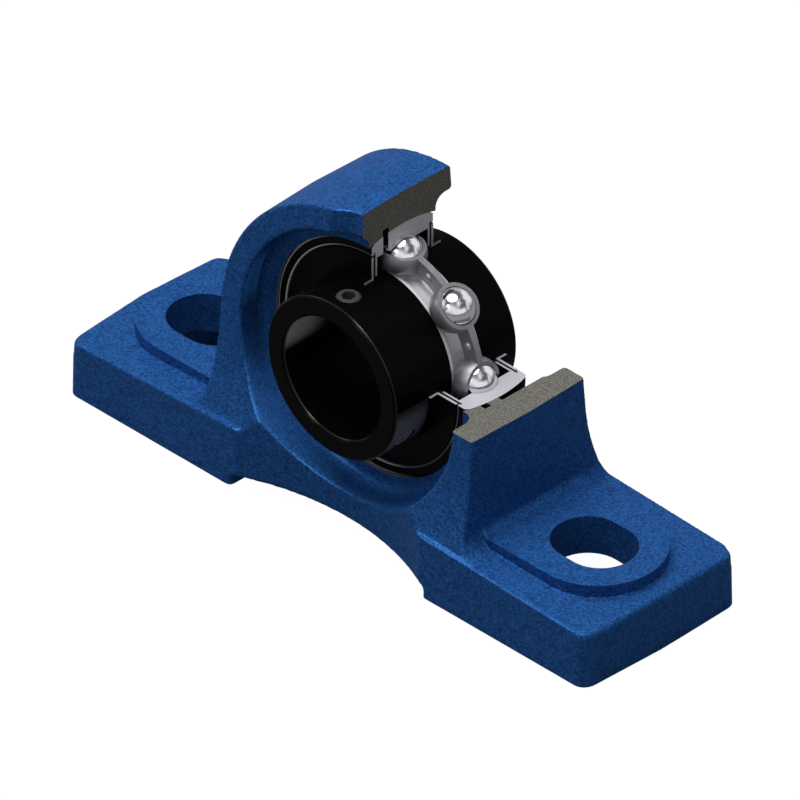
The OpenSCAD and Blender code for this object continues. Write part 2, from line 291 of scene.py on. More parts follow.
@dataclass(frozen=True)
class CastPaint:
    """Paint over a sand-cast skin, with bare iron where the unit is cut."""

    window: Window
    blue: Colour = screen(43, 97, 167)
    deep_blue: Colour = screen(28, 66, 120)
    # Painted highlight: a lighter blue laid into the base colour on the recesses and round
    # edges.
    highlight_blue: Colour = screen(70, 142, 235)
    # Painted highlight: the bright streak on the front recess's wall.
    streak_highlight_blue: Colour = screen(76, 157, 255)
    iron: Colour = screen(128, 126, 118)
    dark_iron: Colour = screen(92, 90, 86)
    seat_iron: Colour = screen(176, 176, 182)
    # Painted shade inside the grease groove.
    groove_painted_shade: Colour = screen(10, 10, 10)
    gloss_tint: Colour = (0.15, 0.35, 0.8)
    seat_r: float = 31.08 * MM
    groove_r: float = 32.4 * MM
    seat_half: float = 10.28 * MM
    sheen_r: float = 40.4 * MM
    streak_r: float = 34.0 * MM
    streak_y: float = -12.6 * MM
    wall_r: float = 35.0 * MM
    edge_x: float = 18.0 * MM
    edge_z: float = 16.0 * MM
    edge_share: float = 0.6
    grain: float = 0.62 * MM
    iron_grain: float = 0.4 * MM
    swell: float = 3.0 * MM
    relief: float = 0.22 * MM

    def inside(self, shader: Shader, radius: float) -> Socket:
        """Give 1 inside a ball of that radius between the recesses, and 0 elsewhere."""
        _, y, _, square = self.window.polar(shader)
        return (square + y * y < radius**2) * (abs(y) < self.seat_half)

    def painted_highlight(self, shader: Shader) -> Socket:
        """Give the share of painted highlight in the recesses and on round edges, and of painted
        light on the recess walls.
        """
        x, _, up, square = self.window.polar(shader)
        low = shader.lean((0.3, -0.72, 0.63), 0.94, 0.995)
        upper = shader.lean((0.35, -0.1, 0.93), 0.5, 0.95)
        edge = shader.lean((0, -0.72, 0.69), 0.96, 0.995) * (x > self.edge_x)
        edge = edge * (up < self.edge_z - self.window.shaft_h)
        hub = (square < self.sheen_r**2) * low
        wall = (square < self.wall_r**2) * upper
        return hub.most(wall.most(edge) * self.edge_share)

    def streak_highlight(self, shader: Shader) -> Socket:
        """Give the share of the painted highlight streak at the left of the front recess's wall.
        """
        _, y, _, square = self.window.polar(shader)
        wall = (square < self.streak_r**2) * (y < self.streak_y)
        return wall * shader.lean((0.96, -0.08, -0.27), 0.955, 1.0)

    def material(self) -> Material:
        """Build the material."""
        shader = Shader("housing_paint")
        cut = self.window.mask(shader)
        seat = self.inside(shader, self.seat_r)
        peel = shader.noise(self.grain, 1.0)
        swell = shader.noise(self.swell)
        iron = shader.noise(self.iron_grain)
        mottle = peel * 0.8 + swell * 0.2
        tone = shader.ramp(mottle, (0.35, self.deep_blue), (0.65, self.blue))
        # Painted highlight and painted light: lighter blue on the recess fillets, walls and
        # round edges.
        share = self.painted_highlight(shader) * (peel * 1.5 + 0.1)
        tone = shader.blend(share, tone, self.highlight_blue)
        # Painted highlight: a bright streak on the front recess's wall.
        share = self.streak_highlight(shader) * (peel * 1.6 + 0.15)
        tone = shader.blend(share, tone, self.streak_highlight_blue)
        bare = shader.ramp(iron, (0.36, self.dark_iron), (0.62, self.iron))
        # Painted shade: the grease groove is near black, the seat bright machined iron.
        machined = shader.blend(seat, self.groove_painted_shade, self.seat_iron)
        painted = shader.blend(self.inside(shader, self.groove_r), tone, machined)
        metal = cut.most(seat)
        height = (peel * 0.8 + swell * 0.6) * (1 - metal) + iron * cut * 0.35
        return shader.finish(
            Base_Color=shader.blend(cut, painted, bare),
            Roughness=0.38 + 0.3 * cut + 0.08 * peel,
            Metallic=0.2 - 0.1 * metal,
            Specular_IOR_Level=0.05,
            Specular_Tint=self.gloss_tint,
            Normal=shader.bump(height, self.relief),
        )


class Steel(Enum):
    """The plain metal finishes: name, colour, roughness and share of sheen."""

    OUTER = ("ring_steel", screen(9, 9, 9), 0.3, 0.03)
    BLACK = ("black_oxide", screen(7, 7, 7), 0.22, 0.03)
    SLINGER = ("slinger_black", screen(9, 9, 9), 0.28, 0.03)
    PLATE = ("seal_steel", screen(10, 10, 10), 0.32, 0.03)
    SCREW = ("screw_steel", screen(66, 66, 63), 0.42, 0.3)


@dataclass(frozen=True)
class SteelFinish:
    """A blackened steel with plain steel on the cut faces, edges and raceways."""

    kind: Steel
    window: Window
    section: Colour = screen(200, 200, 208)
    worn: Colour = screen(44, 44, 45)
    # Painted reflection on the inner ring's front flank.
    sheen: Colour = screen(112, 112, 116)
    # Painted reflection inside the bore.
    bore_reflection_grey: Colour = screen(190, 190, 198)
    # Painted light on the set screw below the shaft.
    low_screw_painted_light: Colour = screen(136, 136, 133)
    # Bare metal and painted highlight on the outer ring's mouth and edge.
    bright: Colour = screen(252, 252, 255)
    ground: Colour = screen(232, 232, 238)
    ground_half: float = 4.6 * MM
    ground_r: float = 17.0 * MM
    ground_out_r: float = 26.4 * MM
    mouth_r: float = 27.12 * MM
    rim_r: float = 28.85 * MM
    rim_half: float = 9.0 * MM
    thread_half: float = 0.13 * MM
    oblique: Pair = (0.4, 0.93)
    front: float = -21.7 * MM
    back: float = 15.4 * MM
    bore_r: float = 15.6 * MM
    flank_fade: Pair = (8.0 * MM, 15.0 * MM)
    bore_fade: Pair = (7.0 * MM, 17.0 * MM)
    rim_highlight_fade: Pair = (-4.0 * MM, 12.0 * MM)
    lathe_grain: float = 0.25 * MM
    lathe_depth: float = 0.006 * MM

    def edges(self, shader: Shader) -> Socket:
        """Give 1 on the chamfers at the inner ring's two ends."""
        _, along, _ = shader.facing()
        _, y, _ = shader.axes()
        low, high = self.oblique
        oblique = (abs(along) > low) * (abs(along) < high)
        at_front = abs(y - self.front) < self.thread_half
        return oblique * (at_front + (abs(y - self.back) < self.thread_half))

    def glow(self, shader: Shader) -> Socket:
        """Give the painted reflection on the inner ring's flank, front half only."""
        _, y, _ = shader.axes()
        return shader.lean((0.93, 0, -0.37), 0.92, 1.0) * (-1 * y).rise(*self.flank_fade)

    def bore_painted_reflection(self, shader: Shader) -> Socket:
        """Give the painted reflection inside the bore, near its front mouth."""
        _, y, _, square = self.window.polar(shader)
        inside = (square < self.bore_r**2) * (-1 * y).rise(*self.bore_fade)
        return shader.lean((0.9, 0, -0.43), 0.88, 1.0) * inside

    def bare(self, shader: Shader) -> Socket:
        """Give 1 where the piece is ground or cut, and 0 where it is blackened."""
        _, y, _, square = self.window.polar(shader)
        track = abs(y) < self.ground_half
        if self.kind is Steel.BLACK:
            return track * (square > self.ground_r**2)
        cut = self.window.mask(shader)
        if self.kind is Steel.OUTER:
            return cut.most((square < self.ground_out_r**2) * track)
        return cut

    def bare_and_highlit_rims(self, shader: Shader) -> Socket:
        """Give the bare metal at the outer ring's mouth and edge, with a painted highlight that
        is strongest on the left.
        """
        x, y, up, square = self.window.polar(shader)
        mouth = (square < self.mouth_r**2) * (square > self.ground_out_r**2)
        edge = (square > self.rim_r**2) * (abs(y) > self.rim_half)
        left = (x * -0.8 - up * 0.3).rise(*self.rim_highlight_fade)
        share = (mouth * (left * 0.8 + 0.12)).most(edge * left)
        return share * (1 - self.window.mask(shader))

    def dress(self, shader: Shader, colour: Colour) -> tuple[Any, Any]:
        """Lay worn edges and painted reflections over the black, paint light on the lower screw,
        and give the worn edges' share of metal as well.
        """
        if self.kind is Steel.BLACK:
            edges = self.edges(shader)
            colour = shader.blend(edges, colour, self.worn)
            # Painted reflection on the inner ring's flank.
            colour = shader.blend(self.glow(shader), colour, self.sheen)
            # Painted reflection inside the bore.
            return shader.blend(self.bore_painted_reflection(shader), colour, self.bore_reflection_grey), edges * 0.8
        if self.kind is Steel.SCREW:
            _, _, up, _ = self.window.polar(shader)
            # Painted light: the screw below the shaft is lighter.
            colour = shader.blend(up < 0, colour, self.low_screw_painted_light)
        return colour, 0.0

    def material(self) -> Material:
        """Build the material."""
        name, black, roughness, sheen = self.kind.value
        shader = Shader(name)
        lathe = shader.noise(self.lathe_grain, stretch=(14, 0.35, 14))
        bare = self.bare(shader)
        dressed, worn = self.dress(shader, black)
        light = self.ground if self.kind is Steel.BLACK else self.section
        colour = shader.blend(bare, dressed, light)
        if self.kind is Steel.OUTER:
            # Bare metal with a painted highlight at the ring's mouth and outer edge, strongest
            # on the left.
            colour = shader.blend(self.bare_and_highlit_rims(shader), colour, self.bright)
        return shader.finish(
            Base_Color=colour,
            Roughness=roughness + 0.1 * lathe + 0.16 * bare,
            Metallic=(bare * 0.4).most(worn),
            Specular_IOR_Level=sheen,
            Normal=shader.bump(lathe, self.lathe_depth, 0.5),
        )


@dataclass(frozen=True)
class CageFinish:
    """Satin pressed sheet."""

    sheet: Colour = screen(140, 140, 146)
    pale: Colour = screen(160, 160, 166)

    def material(self, name: str) -> Material:
        """Build the material under that name."""
        shader = Shader(name)
        haze = shader.noise(1.4 * MM, 3.0)
        fine = shader.noise(0.2 * MM)
        return shader.finish(
            Base_Color=shader.blend(haze, self.sheet, self.pale),
            Roughness=0.34 + 0.16 * haze,
            Metallic=0.75,
            Normal=shader.bump(fine, 0.01 * MM, 0.5),
        )


@dataclass(frozen=True)
class BallFinish:
    """Polished bearing steel."""

    steel: Colour = screen(226, 227, 232)

    def material(self) -> Material:
        """Build the material."""
        shader = Shader("ball_chrome")
        lap = shader.noise(0.9 * MM)
        return shader.finish(Base_Color=self.steel, Roughness=0.04 + 0.05 * lap, Metallic=1.0)


@dataclass(frozen=True)
class RubberFinish:
    """Black seal rubber."""

    black: Colour = screen(10, 10, 10)
    worn: Colour = screen(18, 18, 18)

    def material(self) -> Material:
        """Build the material."""
        shader = Shader("seal_rubber")
        fine = shader.noise(0.3 * MM)
        return shader.finish(
            Base_Color=shader.blend(fine, self.black, self.worn),
            Roughness=0.55 + 0.15 * fine,
            Specular_IOR_Level=0.15,
            Normal=shader.bump(fine, 0.02 * MM, 0.5),
        )


def add_object(name: str, data: bpy.types.ID) -> Object:
    """Put a mesh, a lamp or a camera into the scene as an object at the origin."""
    made = bpy.data.objects.new(name, data)
    bpy.context.scene.collection.objects.link(made)
    return made


def close_form(name: str, form: bmesh.types.BMesh) -> Object:
    """Turn a mesh in the making into an object whose faces look outwards."""
    bmesh.ops.recalc_face_normals(form, faces=form.faces)
    mesh = bpy.data.meshes.new(name)
    form.to_mesh(mesh)
    form.free()
    return add_object(name, mesh)


def applied(made: Object) -> Object:
    """Turn an object's modifiers into its plain mesh."""
    evaluated = made.evaluated_get(bpy.context.evaluated_depsgraph_get())
    mesh = bpy.data.meshes.new_from_object(evaluated)
    made.modifiers.clear()
    made.data = mesh
    return made


def prism(name: str, outline: Sequence[Pair], axis: str, low: float, high: float) -> Object:
    """Extrude a closed outline in millimetres.

    Args:
        name: The object's name.
        outline: Corners as pairs: (X, Y) for axis Z, (Y, Z) for X and (X, Z) for Y.
        axis: The axis that the outline is drawn out along.
        low: Where the prism starts on that axis.
        high: Where it ends.

    Returns:
        A closed prism.
    """
    order = {"X": lambda a, b, c: (c, a, b), "Y": lambda a, b, c: (a, c, b)}
    place = order.get(axis, lambda a, b, c: (a, b, c))
    form = bmesh.new()
    ends = [
        [form.verts.new(Vector(place(a, b, c)) * MM) for a, b in outline]
        for c in (low, high)
    ]
    form.faces.new(ends[0])
    form.faces.new(ends[1])
    count = len(outline)
    for i in range(count):
        j = (i + 1) % count
        form.faces.new((ends[0][i], ends[0][j], ends[1][j], ends[1][i]))
    return close_form(name, form)


def box(name: str, low: Pair, high: Pair, half: float) -> Object:
    """Build a box between two corners in X and Z, with half its depth on each side."""
    outline = [low, (high[0], low[1]), high, (low[0], high[1])]
    return prism(name, outline, "Y", -half, half)


def turned(name: str, profile: Sequence[Pair]) -> Object:
    """Turn a closed profile, as pairs of radius and Y in millimetres, round the shaft."""
    form = bmesh.new()
    turns = [2 * math.pi * k / STEPS_ROUND for k in range(STEPS_ROUND)]
    rings = []
    for radius, y in profile:
        if radius == 0:
            rings.append([form.verts.new(Vector((0, y, SHAFT_H)) * MM)] * STEPS_ROUND)
            continue
        ring = [(radius * math.cos(t), y, SHAFT_H + radius * math.sin(t)) for t in turns]
        rings.append([form.verts.new(Vector(spot) * MM) for spot in ring])
    for i, first in enumerate(rings):
        second = rings[(i + 1) % len(rings)]
        for k in range(STEPS_ROUND):
            j = (k + 1) % STEPS_ROUND
            corners = list(dict.fromkeys((first[k], first[j], second[j], second[k])))
            if len(corners) > 2:
                form.faces.new(corners)
    return close_form(name, form)


def arc(centre: Pair, radius: float, start: float, end: float, steps: int) -> list[Pair]:
    """Give the points of an arc, from its start to its end in degrees, both included."""
    angles = (math.radians(start + (end - start) * k / steps) for k in range(steps + 1))
    return [
        (centre[0] + radius * math.cos(a), centre[1] + radius * math.sin(a)) for a in angles
    ]


def on_side(side: int, points: Iterable[Pair]) -> list[Pair]:
    """Mirror points in their first number where the side is -1."""
    return [(side * a, b) for a, b in points]


def tan_deg(angle: float) -> float:
    """Give the tangent of an angle in degrees."""
    return math.tan(math.radians(angle))


def far(length: float) -> float:
    """Give a length that reaches past everything of that size."""
    return 1.5 * length + 5


def places(mesh: bpy.types.Mesh) -> Numbers:
    """Give the mesh's points in millimetres, one in each row."""
    flat = np.empty(3 * len(mesh.vertices), np.float32)
    mesh.vertices.foreach_get("co", flat)
    return flat.reshape(-1, 3).astype(float) / MM


def combine(base: Object, others: Iterable[Object], operation: str) -> Object:
    """Join or cut an object with others, which are then removed.

    Args:
        base: The object that is changed.
        others: The cutters or additions.
        operation: UNION, DIFFERENCE or INTERSECT.

    Returns:
        The changed object.
    """
    for other in others:
        modifier = base.modifiers.new("boolean", "BOOLEAN")
        modifier.operation = operation
        modifier.solver = "MANIFOLD"
        modifier.object = other
        applied(base)
        bpy.data.objects.remove(other)
    return base


@dataclass
class Housing:
    """The cast block, rebuilt with the soft edges of a casting.

    Lengths are in millimetres and angles in degrees. A zone holds the two limits of a
    group of edges that are rounded more.
    """

    window: Window
    base_l: float = 161.6
    base_w: float = 47.4
    foot_h: float = 13.8
    foot_slope: float = 2.0
    foot_crown: float = 1.8
    corner_r: float = 3.0
    pad_h: float = 17.8
    pad_r: float = 15.9
    pad_reach: float = 77.0
    pad_root: float = 4.0
    pad_low: float = 9.5
    slot_pitch: float = 120.0
    slot_w: float = 17.0
    slot_l: float = 21.0
    wall: float = 4.5
    end_wall: float = 7.3
    inner_wall: float = 6.3
    hollow_h: float = 7.9
    gap_half: float = 29.8
    gap_h: float = 2.7
    waist_half: float = 17.45
    waist_land: float = 0.8
    shaft_h: float = SHAFT_H
    hump_r: float = 39.7
    side_lean: float = 0.6
    hump_half: float = 17.6
    face_draft: float = 4.0
    rim_draft: float = 1.7
    flare_r: float = 60.0
    flare_top: float = 35.0
    foot_fillet: float = 4.5
    pad_fillet: float = 2.0
    recess_r: float = 33.0
    recess_fillet: float = 3.0
    notch_r: float = 10.5
    notch_y: float = 12.3
    seat_r: float = 31.0
    seat_w: float = 20.6
    grease_depth: float = 1.1
    grease_w: float = 1.9
    grease_y: float = 5.2
    load_depth: float = 1.3
    load_w: float = 19.6
    load_reach: float = 1.1
    foot_draft: float = 0.3
    end_draft: float = 0.8
    draft_from: Pair = (0.85, 18.0)
    draft_over: Pair = (0.12, 10.0)
    voxel: float = 0.34
    grid_turn: float = 37.0
    grid_axis: Triple = (1.0, 0.6, 0.35)
    softness: int = 12
    rim_softness: int = 16
    end_softness: int = 90
    heel_softness: int = 60
    rim_zone: Pair = (2.6, 14.2)
    end_zone: Pair = (3.5, 4.0)
    heel_zone: Pair = (3.0, 3.5)
    arch_zone: Pair = (1.0, 1.5)
    kept: float = 0.22
    crease: float = 32.0
    over: float = 3.0
    inset: float = 0.2
    below: float = -9.0
    above: float = 99.0

    @property
    def side_x(self) -> float:
        """Half of the hump's width where it meets the feet."""
        return self.hump_r + self.side_lean

    def plan(self) -> list[Pair]:
        """Give the base as seen from above, a rounded rectangle."""
        far_x, far_y, r = self.base_l / 2, self.base_w / 2, self.corner_r
        points: list[Pair] = []
        for quarter, (i, j) in enumerate(((1, 1), (-1, 1), (-1, -1), (1, -1))):
            start = 90 * quarter
            points += arc((i * (far_x - r), j * (far_y - r)), r, start, start + 90, 8)
        return points

    def hump_outline(self) -> list[Pair]:
        """Give the hump as seen from the front, with its fillets on the feet."""
        floor = self.foot_h + (self.base_l / 2 - self.side_x) * tan_deg(self.foot_slope)
        r = self.foot_fillet
        fillet = arc((self.side_x + r, floor + r), r, 180, 270, 10)
        right = [*fillet, (self.side_x + r, -self.over)]
        top = arc((0, self.shaft_h), self.hump_r, 0, 180, 120)
        return right[::-1] + top + on_side(-1, right)

    def hump_side(self) -> list[Pair]:
        """Give the hump as seen from the side, with its drafted and flared faces."""
        draft = math.radians(self.face_draft)
        lean = math.tan(draft)
        top = self.shaft_h + self.hump_r + self.over
        flare_y = self.hump_half + (self.shaft_h - self.flare_top) * lean
        centre = (
            flare_y + self.flare_r * math.cos(draft),
            self.flare_top + self.flare_r * math.sin(draft),
        )
        low = math.degrees(math.asin(centre[1] / self.flare_r))
        curve = arc(centre, self.flare_r, 180 + self.face_draft, 180 + low, 24)
        right = [(self.hump_half - (top - self.shaft_h) * lean, top), *curve]
        right.append((right[-1][0], -self.over))
        return right + on_side(-1, right[::-1])

    def roof(self) -> Object:
        """Build the space under the four sloping planes of the feet's tops."""
        long, wide = self.base_l, self.base_w
        fall_x = long * tan_deg(self.foot_slope)
        fall_y = wide * tan_deg(self.foot_crown)
        apex = self.foot_h + fall_x / 2 + fall_y / 2
        form = bmesh.new()
        grid = {
            (i, j): form.verts.new(
                Vector((i * long, j * wide, apex - abs(i) * fall_x - abs(j) * fall_y)) * MM
            )
            for i in (-1, 0, 1)
            for j in (-1, 0, 1)
        }
        rim = [(-1, -1), (0, -1), (1, -1), (1, 0), (1, 1), (0, 1), (-1, 1), (-1, 0)]
        floor = [
            form.verts.new(Vector((i * long, j * wide, self.below)) * MM) for i, j in rim
        ]
        for i, j in ((-1, -1), (0, -1), (-1, 0), (0, 0)):
            corners = ((i, j), (i + 1, j), (i + 1, j + 1), (i, j + 1))
            form.faces.new([grid[corner] for corner in corners])
        for k, spot in enumerate(rim):
            after = (k + 1) % len(rim)
            form.faces.new((grid[spot], grid[rim[after]], floor[after], floor[k]))
        form.faces.new(floor)
        return close_form("roof", form)

    def blank(self) -> Object:
        """Build the raw block before its edges are rounded."""
        half, wide = self.base_l / 2, self.base_w / 2
        hump = prism("hump", self.hump_outline(), "Y", -wide, wide)
        combine(hump, [prism("side", self.hump_side(), "X", -far(half), far(half))], "INTERSECT")
        feet = prism("feet", self.plan(), "Z", -self.over, self.above)
        combine(feet, [self.roof()], "INTERSECT")
        combine(hump, [feet, *self.pads(self.inset)], "UNION")
        arch = (self.gap_half, self.gap_h)
        gap = box("gap", (-self.gap_half, self.below), arch, far(wide))
        notch_middle = (0, -self.notch_y - self.notch_r)
        round_notch = arc(notch_middle, self.notch_r, 0, 357, 119)
        notch = prism("notch", round_notch, "Z", self.shaft_h + self.seat_r, self.above)
        recesses = [turned("recess", self.recess_profile(side)) for side in (-1, 1)]
        return combine(hump, [gap, notch, *recesses, *self.waists()], "DIFFERENCE")

    def recess_profile(self, side: int) -> list[Pair]:
        """Give the round recess of one face, as radius and Y."""
        half, r = self.seat_w / 2, self.recess_fillet
        bend = arc((self.recess_r - r, half + r), r, 270, 360, 12)
        end = far(self.base_w / 2)
        profile = [(0, half), *bend, (self.recess_r, end), (0, end)]
        return [(x, side * y) for x, y in profile]

    def waists(self) -> list[Object]:
        """Build the two round cutters that give the block its waist."""
        sag = self.base_w / 2 - self.waist_half
        reach = self.gap_half - self.waist_land
        radius = (reach * reach + sag * sag) / (2 * sag)
        cutters = []
        for side in (-1, 1):
            centre = (0, side * (self.waist_half + radius))
            round_plan = arc(centre, radius, 0, 359, 359)
            cutters.append(prism("waist", round_plan, "Z", self.below, self.shaft_h))
        return cutters

    def soften(self, block: Object) -> Object:
        """Round the block's edges as a casting's are, and give it its pattern's draft.

        The block is turned for the remesh, so that no face lies along its grid.
        """
        turn = Matrix.Rotation(math.radians(self.grid_turn), 4, Vector(self.grid_axis))
        block.data.transform(turn)
        remesh = block.modifiers.new("skin", "REMESH")
        remesh.mode = "VOXEL"
        remesh.voxel_size = self.voxel * MM
        smooth = block.modifiers.new("soften", "SMOOTH")
        smooth.factor = 0.5
        smooth.iterations = self.softness
        applied(block)
        block.data.transform(turn.inverted())
        self.round_more(block, "rim", self.near_rim, self.rim_softness)
        self.round_more(block, "ends", self.near_end, self.end_softness)
        self.round_more(block, "heels", self.near_heel, self.heel_softness)
        thin = block.modifiers.new("thin", "DECIMATE")
        thin.ratio = self.kept
        applied(block)
        self.draft(block.data)
        return block

    def near_rim(self, x: Numbers, y: Numbers, z: Numbers) -> Numbers:
        """Tell which places in millimetres are at the edge of a recess."""
        reach, least_y = self.rim_zone
        return (abs(y) > least_y) & (abs(np.hypot(x, z - self.shaft_h) - self.recess_r) < reach)

    def near_end(self, x: Numbers, y: Numbers, z: Numbers) -> Numbers:
        """Tell which places in millimetres are at the top edge of a foot's end."""
        inwards, down = self.end_zone
        return (abs(x) > self.base_l / 2 - inwards) & (z > self.foot_h - down)

    def near_heel(self, x: Numbers, y: Numbers, z: Numbers) -> Numbers:
        """Tell which places in millimetres are at a foot's heel or under the arch."""
        reach, top = self.heel_zone
        heel = (abs(abs(x) - self.gap_half) < reach) & (abs(y) > self.base_w / 2 - reach)
        inwards, up = self.arch_zone
        arch = (abs(x) < self.gap_half - inwards) & (z < self.gap_h + up)
        return (heel & (z < top)) | arch

    def round_more(
        self, block: Object, name: str, near: Callable[..., Numbers], iterations: int
    ) -> None:
        """Give some of the edges a larger radius.

        Args:
            block: The block with soft edges.
            name: Name of the group of vertices.
            near: Tells which places in millimetres belong to those edges.
            iterations: How often they are smoothed.
        """
        group = block.vertex_groups.new(name=name)
        spots = np.flatnonzero(near(*places(block.data).T))
        group.add(spots.tolist(), 1.0, "REPLACE")
        smooth = block.modifiers.new(name, "SMOOTH")
        smooth.vertex_group = name
        smooth.iterations = iterations
        applied(block)
        block.vertex_groups.clear()
        log.info("%s: %d points rounded", name, len(spots))

    def draft(self, mesh: bpy.types.Mesh) -> None:
        """Move the surface by the draft of the two halves of the pattern."""
        x, y, z = places(mesh).T
        across, up = abs(y), z - self.shaft_h
        reach = np.hypot(x, up)
        far_x, far_y = self.base_l / 2, self.base_w / 2
        (from_r, from_z), (over_r, over_z) = self.draft_from, self.draft_over
        share = np.clip((reach / self.hump_r - from_r) / over_r, 0, 1)
        share *= np.clip((z - from_z) / over_z, 0, 1)
        pull = across * share * tan_deg(self.rim_draft) / reach
        low = np.clip(1 - z / self.foot_h, 0, 1)
        edge = np.clip((across - self.waist_half) / (far_y - self.waist_half), 0, 1)
        last = np.clip((abs(x) - self.pad_reach) / (far_x - self.pad_reach), 0, 1)
        middle = 1 - across / far_y
        moved = np.stack(
            (
                x - x * pull + np.sign(x) * self.end_draft * last * middle,
                y + np.sign(y) * self.foot_draft * low * edge,
                z - up * pull,
            ),
            axis=1,
        )
        mesh.vertices.foreach_set("co", (moved * MM).astype(np.float32).ravel())
        mesh.update()

    def pads(self, inset: float = 0.0) -> list[Object]:
        """Build the pads round the slots, with their fillets on the hump.

        Args:
            inset: How far the pads stay back from their real faces.

        Returns:
            The two pads and their two fillets.
        """
        made = []
        wide, top, r = self.pad_r - inset, self.pad_h - inset, self.pad_fillet
        root, end = self.side_x - self.pad_root, self.pad_reach - self.pad_r
        outline = [(root, -wide), *arc((end, 0), wide, -90, 90, 48), (root, wide)]
        inner, outer = self.side_x - r, self.side_x + r
        bend = arc((outer, top + r), r, 180, 270, 8)
        corner = [(inner, top - 1), (inner, top + r), *bend, (outer, top - 1)]
        for side in (-1, 1):
            made.append(prism("pad", on_side(side, outline), "Z", self.pad_low, top))
            made.append(prism("fillet", on_side(side, corner), "Y", -wide, wide))
        return made

    def hollow_plan(self, side: int) -> list[Pair]:
        """Give the hollow under one foot as seen from above."""
        half, r = self.base_w / 2 - self.wall, self.corner_r
        inner = self.gap_half + self.inner_wall
        middle = self.base_l / 2 - self.end_wall - half
        points = arc((middle, 0), half, -90, 90, 48)
        points += arc((inner + r, half - r), r, 90, 180, 8)
        points += arc((inner + r, r - half), r, 180, 270, 8)
        return on_side(side, points)

    def machining(self) -> list[Object]:
        """Build the cutters for the floor, slots, hollows, seat and window."""
        reach = far(self.base_l)
        cutters = [box("below", (-reach, self.below), (reach, 0), reach)]
        for side in (-1, 1):
            middle = side * self.slot_pitch / 2
            end = (self.slot_l - self.slot_w) / 2
            outline = arc((middle + end, 0), self.slot_w / 2, -90, 90, 40)
            outline += arc((middle - end, 0), self.slot_w / 2, 90, 270, 40)
            cutters.append(prism("slot", outline, "Z", self.below, self.above))
            hollow = self.hollow_plan(side)
            cutters.append(prism("hollow", hollow, "Z", self.below, self.hollow_h))
        quarter = box("quarter", (0, self.shaft_h), (reach, reach), reach)
        return [*cutters, turned("seat", self.seat_profile()), self.loading(), quarter]

    def seat_profile(self) -> list[Pair]:
        """Give the seat and its grease groove, as radius and Y."""
        half = self.seat_w / 2
        edge = math.degrees(math.asin(half / self.seat_r))
        end = far(self.base_w / 2)
        low, high = (-self.grease_y + side * self.grease_w / 2 for side in (-1, 1))
        deep = self.seat_r + self.grease_depth
        low_edge, high_edge = (math.sqrt(self.seat_r**2 - y * y) for y in (low, high))
        sphere = arc((0, 0), self.seat_r, -edge, edge, 64)
        front = [point for point in sphere if point[1] < low]
        back = [point for point in sphere if point[1] > high]
        groove = [(low_edge, low), (deep, low), (deep, high), (high_edge, high)]
        lip = sphere[0][0]
        return [(0, -end), (lip, -end), *front, *groove, *back, (lip, end), (0, end)]

    def loading(self) -> Object:
        """Build the cutter for the two slots through which the ring is put in."""
        deep, start, reach = self.seat_r + self.load_depth, -self.load_reach, self.base_w
        profile = [(0, start), (deep, start), (deep, reach), (0, reach)]
        low, high = self.shaft_h - self.load_w / 2, self.shaft_h + self.load_w / 2
        sides = box("sides", (-reach, low), (reach, high), far(reach))
        return combine(turned("loading", profile), [sides], "INTERSECT")

    def build(self) -> None:
        """Build and dress the housing."""
        block = self.soften(self.blank())
        combine(block, self.pads(), "UNION")
        combine(block, self.machining(), "DIFFERENCE")
        block.name = "housing_skin"
        block.data.name = "housing_skin"
        block.data.materials.clear()
        block.data.materials.append(CastPaint(self.window).material())
        block.data.shade_smooth()
        block.data.set_sharp_from_angle(angle=math.radians(self.crease))
        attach(block, "housing")
        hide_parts("housing")
        block.data.calc_loop_triangles()
        log.info("housing_skin: %d triangles", len(block.data.loop_triangles))


@dataclass
class Bearing:
    """The rings, seals, slingers, screws, balls and cage of the insert."""

    window: Window
    nodes: dict[str, Object]

    def paint(self, names: Iterable[str], material: Material) -> None:
        """Give several nodes one material."""
        for name in names:
            node = self.nodes[name]
            node.data.materials.clear()
            node.data.materials.append(material)
            log.info("%s: %s", name, material.name)

    def build(self) -> None:
        """Dress each piece of the insert."""
        steel = {kind: SteelFinish(kind, self.window).material() for kind in Steel}
        self.paint(["outer_ring"], steel[Steel.OUTER])
        self.paint(["inner_ring"], steel[Steel.BLACK])
        self.paint(["slinger_front", "slinger_back"], steel[Steel.SLINGER])
        self.paint(["seal_plate_front", "seal_plate_back"], steel[Steel.PLATE])
        self.paint(["set_screw_top", "set_screw_side"], steel[Steel.SCREW])
        self.paint(["seal_lip_front", "seal_lip_back"], RubberFinish().material())
        self.paint([f"ball_{k}" for k in range(1, 9)], BallFinish().material())
        self.paint(["cage_front", "cage_back"], CageFinish().material("cage_steel"))


